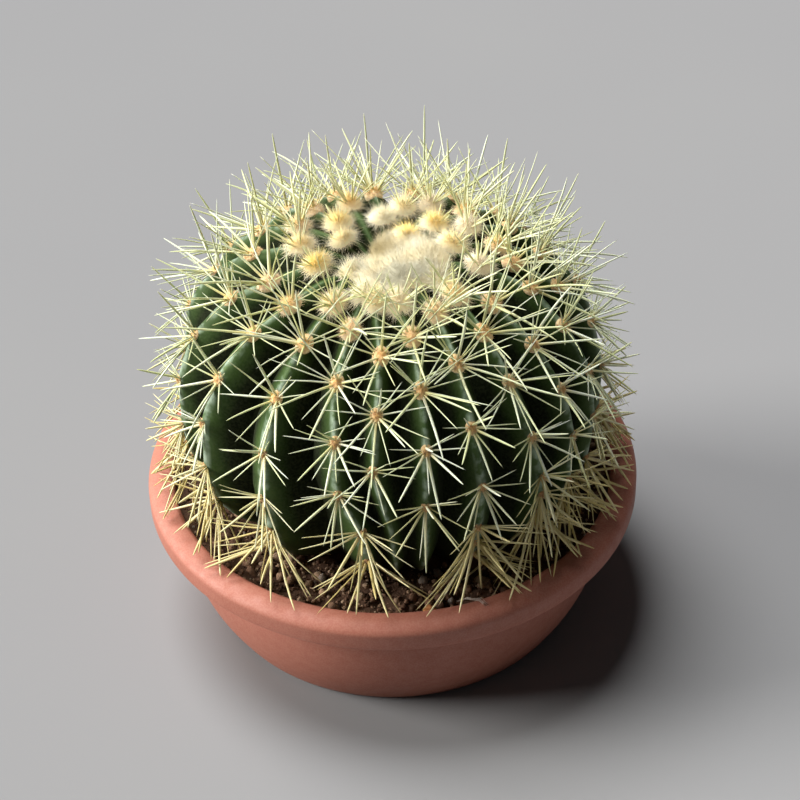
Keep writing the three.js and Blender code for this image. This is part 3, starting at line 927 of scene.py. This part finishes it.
def softPatches(tree, scale, detail, sharpness):
    return shaderNode(tree, "ShaderNodeGroup", {"node_tree": patchGroup}, Scale=scale,
                      Detail=detail, Sharpness=sharpness).outputs[0]


def newMaterial(name):
    material = bpy.data.materials.new(name)
    material.use_nodes = True
    return material, material.node_tree


def paint(material, **inputs):
    feedAll(material.node_tree, material.node_tree.nodes["Principled BSDF"], inputs)
    return material


def dress(material, colour, grain, **inputs):
    # grain is its scale, its pits, and the bump's strength and distance
    tree = material.node_tree
    scale, pits, strength, distance = grain
    height = shaderNode(tree, "ShaderNodeGroup", {"node_tree": grainGroup}, Scale=scale, Pits=pits)
    bump = shaderNode(tree, "ShaderNodeBump", Height=height.outputs[0], Strength=strength,
                      Distance=distance)
    return paint(material, Base_Color=colour, Normal=bump.outputs[0], **inputs)


skinLook = {
    "flank": [(0.013, 0.032, 0.0045), (0.03, 0.062, 0.011)],
    # painted highlight: a lighter green along the rounded crests, where they catch the light
    "crest": [(0.058, 0.11, 0.036), (0.105, 0.165, 0.066)],
    # painted shade: a near-black green for the deep grooves between the ribs, where shade falls
    "groove": (0.0012, 0.0026, 0.0004),
    # painted sheen: a pale whitish-green streak on the crests that stands in for the light's
    # reflection there
    "paintedCrestSheen": (0.38, 0.47, 0.37),
    "speck": (0.14, 0.17, 0.08),
    "foot": (0.06, 0.07, 0.03),
    "shine": (0.85, 1.0, 0.55),
}


def skinMaterial():
    material, tree = newMaterial("green_skin")
    groove, age = attributes(tree, "groove", "age")
    patches = softPatches(tree, 85.0, 4.0, 0.32)
    specks = softPatches(tree, 900.0, 2.0, 0.42)
    streaks = softPatches(tree, 210.0, 5.0, 0.4)
    # mask for the painted highlight along the crests
    paintedCrestLight = maskRamp(tree, groove, (0.0, 1), (0.07, 0.55), (0.27, 0))
    # mask for the painted shade in the grooves
    paintedGrooveShade = maskRamp(tree, groove, (0.28, 0), (0.6, 1))
    # mask for the painted sheen beside the crest line, broken into streaks and kept off the crown
    paintedCrestSheen = maskRamp(tree, groove, (0.0, 1), (0.07, 0.75), (0.2, 0))
    grown = maskRamp(tree, age, (0.15, 0), (0.3, 1))
    old = maskRamp(tree, age, (0.72, 0), (0.95, 0.7))
    colour = layered(tree, mixColour(tree, patches, *skinLook["flank"]),
                     (paintedCrestLight, mixColour(tree, patches, *skinLook["crest"])),
                     (paintedGrooveShade, skinLook["groove"]),
                     (product(tree, paintedCrestSheen, product(tree, streaks, grown)), skinLook["paintedCrestSheen"]),
                     (product(tree, specks, 0.07), skinLook["speck"]), (old, skinLook["foot"]))
    rough = mathNode(tree, "MAXIMUM", mathNode(tree, "MULTIPLY_ADD", patches, 0.15, 0.5),
                     maskRamp(tree, groove, (0.1, 0.36), (0.45, 0.95)))
    return dress(material, colour, (1100.0, 0.5, 0.35, 0.0002), Roughness=rough,
                 Specular_IOR_Level=0.3, Specular_Tint=skinLook["shine"])


spineLook = {
    "shaft": [(0.0, (0.61, 0.65, 0.34)), (0.5, (0.69, 0.74, 0.49)), (1.0, (0.75, 0.79, 0.64))],
    "young": (0.8, 0.75, 0.32),
    "root": (0.72, 0.5, 0.13),
    "straw": [(0.56, 0.42, 0.13), (0.84, 0.73, 0.37)],
    "tip": (0.36, 0.2, 0.08),
}


def spineMaterial(name, bright):
    material, tree = newMaterial(name)
    along, age, tint = attributes(tree, "along", "age", "tint")
    shaft = colourRamp(tree, tint, [(place, tuple(part * bright for part in colour))
                                    for place, colour in spineLook["shaft"]])
    young = product(tree, maskRamp(tree, age, (0.1, 1), (0.36, 0)), 0.5)
    atRoot = maskRamp(tree, along, (0.0, 1), (0.1, 0.6), (0.32, 0))
    old = product(tree, maskRamp(tree, age, (0.54, 0), (0.68, 1)), 0.85)
    tip = product(tree, maskRamp(tree, along, (0.86, 0), (1.0, 0.5)), tint)
    colour = layered(tree, shaft, (young, spineLook["young"]), (atRoot, spineLook["root"]),
                     (old, mixColour(tree, tint, *spineLook["straw"])), (tip, spineLook["tip"]))
    return dress(material, colour, (2600.0, 0.1, 0.25, 0.0001), Roughness=0.36,
                 Subsurface_Weight=0.15, Subsurface_Scale=0.001,
                 Subsurface_Radius=(1.0, 0.8, 0.4), Specular_IOR_Level=0.5)


def dressSoftly(material, colour, grain, glow, **inputs):
    # the glow stands in for the light that fine wool passes on from hair to hair
    return dress(material, colour, grain, Emission_Color=colour, Emission_Strength=glow,
                 Sheen_Weight=0.2, Sheen_Roughness=0.5, **inputs)


feltLook = {
    "fresh": [(0.9, 0.84, 0.6), (0.96, 0.93, 0.78)],
    "gold": (0.96, 0.7, 0.2),
    "peach": [(0.76, 0.43, 0.14), (0.92, 0.7, 0.4)],
    "peachGrain": (0.5, 0.24, 0.07),
    "brown": [(0.3, 0.13, 0.04), (0.46, 0.25, 0.09)],
    "pale": (0.84, 0.76, 0.58),
    "sheen": (1.0, 0.88, 0.6),
}


def feltMaterial(name, lighten, depth, glow):
    material, tree = newMaterial(name)
    age, tint, rim, gold = attributes(tree, "age", "tint", "rim", "gold")
    golden = product(tree, gold, maskRamp(tree, rim, (0.4, 1), (1.0, 0.12)))
    grains = product(tree, softPatches(tree, 1300.0, 3.0, 0.38), 0.5)
    fresh, peach, brown = [mixColour(tree, mask, *feltLook[stage]) for mask, stage in
                           ((tint, "fresh"), (rim, "peach"), (tint, "brown"))]
    peach = mixColour(tree, grains, peach, feltLook["peachGrain"])
    colour = layered(tree, fresh, (golden, feltLook["gold"]),
                     (maskRamp(tree, age, (0.16, 0), (0.27, 1)), peach),
                     (maskRamp(tree, age, (0.4, 0), (0.7, 1)), brown), (lighten, feltLook["pale"]))
    return dressSoftly(material, colour, (1800.0, 0.3, 0.6, 0.0003), glow, Roughness=0.92,
                       Sheen_Tint=feltLook["sheen"], Specular_IOR_Level=0.2,
                       Subsurface_Weight=depth, Subsurface_Scale=0.0015,
                       Subsurface_Radius=(1.0, 0.8, 0.5))


woolLook = {
    "cream": [(0.55, 0.51, 0.35), (0.68, 0.65, 0.51)],
    "yellow": (0.66, 0.52, 0.25),
    "pit": (0.4, 0.3, 0.11),
    "sheen": (1.0, 0.9, 0.7),
}


def woolMaterial(name, depth, glow):
    material, tree = newMaterial(name)
    tint, pit = attributes(tree, "tint", "pit")
    yellow = product(tree, softPatches(tree, 110.0, 2.0, 0.42), 0.5)
    colour = layered(tree, mixColour(tree, tint, *woolLook["cream"]), (yellow, woolLook["yellow"]),
                     (product(tree, pit, 0.85), woolLook["pit"]))
    return dressSoftly(material, colour, (1500.0, 0.2, 0.7, 0.0004), glow, Roughness=0.95,
                       Sheen_Tint=woolLook["sheen"], Specular_IOR_Level=0.15,
                       Subsurface_Weight=depth, Subsurface_Scale=0.002,
                       Subsurface_Radius=(1.0, 0.85, 0.55))


clayLook = {
    "clay": [(0.35, 0.104, 0.058), (0.405, 0.132, 0.084)],
    "stain": (0.33, 0.088, 0.05),
    "dot": (0.62, 0.33, 0.22),
}


def clayMaterial():
    material, tree = newMaterial("fired_clay")
    broad = softPatches(tree, 16.0, 3.0, 0.3)
    small = softPatches(tree, 240.0, 5.0, 0.35)
    dots = softPatches(tree, 1500.0, 1.0, 0.44)
    colour = layered(tree, mixColour(tree, broad, *clayLook["clay"]),
                     (product(tree, small, 0.4), clayLook["stain"]),
                     (product(tree, dots, 0.12), clayLook["dot"]))
    rough = shaderNode(tree, "ShaderNodeMapRange", Value=small, To_Min=0.6, To_Max=0.74)
    return dress(material, colour, (1300.0, 0.6, 0.12, 0.0002), Roughness=rough.outputs[0],
                 Specular_IOR_Level=0.8)


earthLook = {
    "dark": [(0.016, 0.009, 0.004), (0.055, 0.031, 0.014)],
    "crumbs": [(0.0, (0.06, 0.032, 0.02)), (0.4, (0.17, 0.09, 0.055)),
               (0.66, (0.32, 0.185, 0.115)), (0.84, (0.5, 0.32, 0.2)),
               (0.97, (0.52, 0.37, 0.25)), (1.0, (0.3, 0.26, 0.23))],
}


def earthMaterial():
    material, tree = newMaterial("potting_soil")
    dark = mixColour(tree, softPatches(tree, 420.0, 5.0, 0.35), *earthLook["dark"])
    crumbs = colourRamp(tree, attributes(tree, "tone")[0], earthLook["crumbs"])
    return dress(material, mixColour(tree, 0.75, dark, crumbs), (1600.0, 0.5, 0.8, 0.0005),
                 Roughness=0.93, Specular_IOR_Level=0.2)


def plainMaterial(name, dark, light, roughness):
    material, tree = newMaterial(name)
    colour = mixColour(tree, softPatches(tree, 900.0, 4.0, 0.35), dark, light)
    return dress(material, colour, (1800.0, 0.5, 0.6, 0.0004), Roughness=roughness,
                 Specular_IOR_Level=0.25)


def floorMaterial():
    material, tree = newMaterial("pale_floor")
    colour = mixColour(tree, softPatches(tree, 3.0, 3.0, 0.2), *studio["floor"])
    return paint(material, Base_Color=colour, Roughness=1.0, Specular_IOR_Level=0.0)


# Building the plant and its pot

plantSkin(skinMaterial())
spinePiece("central", 31, spineMaterial("thick_spine", 1.0))
spinePiece("radial", 32, spineMaterial("thin_spine", 0.96))
feltPads(feltMaterial("felt", 0.05, 0.5, 0.05))
feltFibres(feltMaterial("felt_fibre", 0.2, 0.0, 0.05))
tuftFibres(feltMaterial("tuft_fibre", 0.03, 0.0, 0.16))
print("plant done")

crownWool(woolMaterial("wool", 0.5, 0.25))
crownFibres(woolMaterial("wool_fibre", 0.0, 0.43))
print("crown wool done")

bowlPot(clayMaterial())
earth = earthMaterial()
soilBed(earth)
soilCrumbs("large", earth)
soilCrumbs("small", earth)
lonePebble("brick", plainMaterial("brick_grit", (0.28, 0.1, 0.035), (0.5, 0.22, 0.08), 0.9))
lonePebble("stone", plainMaterial("dark_grit", (0.05, 0.045, 0.045), (0.13, 0.115, 0.11), 0.75))
shedWisp(plainMaterial("pale_wisp", (0.5, 0.4, 0.33), (0.66, 0.56, 0.48), 0.8))
print("pot and soil done")


# Floor, light and camera

studio = {
    "floorSize": 14.0,
    "floor": [(0.235, 0.235, 0.24), (0.25, 0.25, 0.25)],
    "world": 0.045, "worldColour": (0.96, 0.97, 1.0),
    "lights": [  # name, direction it comes from, strength, softness in degrees, colour
        ("window", (-1.5, 0.04, 0.64), 5.3, 27.0, (1.0, 0.985, 0.96)),
        ("ceiling", (-0.45, 0.4, 1.5), 4.2, 32.0, (1.0, 1.0, 1.0)),
    ],
}


def makeFloor():
    half = studio["floorSize"] / 2
    mesh = bpy.data.meshes.new("floor")
    corners = [(-half, -half, 0), (half, -half, 0), (half, half, 0), (-half, half, 0)]
    mesh.from_pydata(corners, [], [(0, 1, 2, 3)])
    mesh.materials.append(floorMaterial())
    floor = addObject("floor", mesh)


def makeLights():
    for name, source, strength, softness, colour in studio["lights"]:
        lamp = bpy.data.lights.new(name, "SUN")
        lamp.energy = strength
        lamp.angle = math.radians(softness)
        lamp.color = colour
        holder = addObject(name, lamp)
        holder.location = source
        holder.rotation_mode = "QUATERNION"
        holder.rotation_quaternion = (-Vector(source)).to_track_quat("-Z", "Y")
    world = bpy.data.worlds.new("studio")
    bpy.context.scene.world = world
    world.use_nodes = True
    inputs = {"Color": studio["worldColour"], "Strength": studio["world"]}
    feedAll(world.node_tree, world.node_tree.nodes["Background"], inputs)


camera = {
    "elevation": 40.3, "roll": -1.9, "distance": 0.8,
    "lens": 88.02, "sensor": 36, "clip": (0.05, 20),
    "imageWidth": 800,
    "rimCentre": (392.1, 456.0),  # where the middle of the rim lies in the picture
}


def makeCamera():
    # the lens looks at the middle of the rim, then swings to bring it where the picture has it
    rise = math.radians(camera["elevation"])
    roll = math.radians(camera["roll"])
    across = Vector((1, 0, 0))
    over = Vector((0, math.sin(rise), math.cos(rise)))
    ahead = Vector((0, math.cos(rise), -math.sin(rise)))
    focal = camera["lens"] / camera["sensor"] * camera["imageWidth"]
    offX, offY = [camera["imageWidth"] / 2 - centre for centre in camera["rimCentre"]]
    right = across * math.cos(roll) + over * math.sin(roll)
    downward = across * math.sin(roll) - over * math.cos(roll)
    sight = (ahead * focal + right * offX + downward * offY).normalized()
    right = (right - sight * right.dot(sight)).normalized()
    place = Vector((0, 0, pot["height"] * mm)) - ahead * camera["distance"]
    turned = Matrix((right, right.cross(sight), -sight)).transposed().to_4x4()
    lens = bpy.data.cameras.new("camera")
    lens.lens = camera["lens"]
    lens.sensor_width = camera["sensor"]
    lens.clip_start, lens.clip_end = camera["clip"]
    holder = addObject("camera", lens)
    holder.matrix_world = Matrix.Translation(place) @ turned
    bpy.context.scene.camera = holder


makeFloor()
makeLights()
makeCamera()
bpy.context.scene.view_settings.view_transform = "Standard"
bpy.context.scene.view_settings.exposure = 0.0
print("studio done")
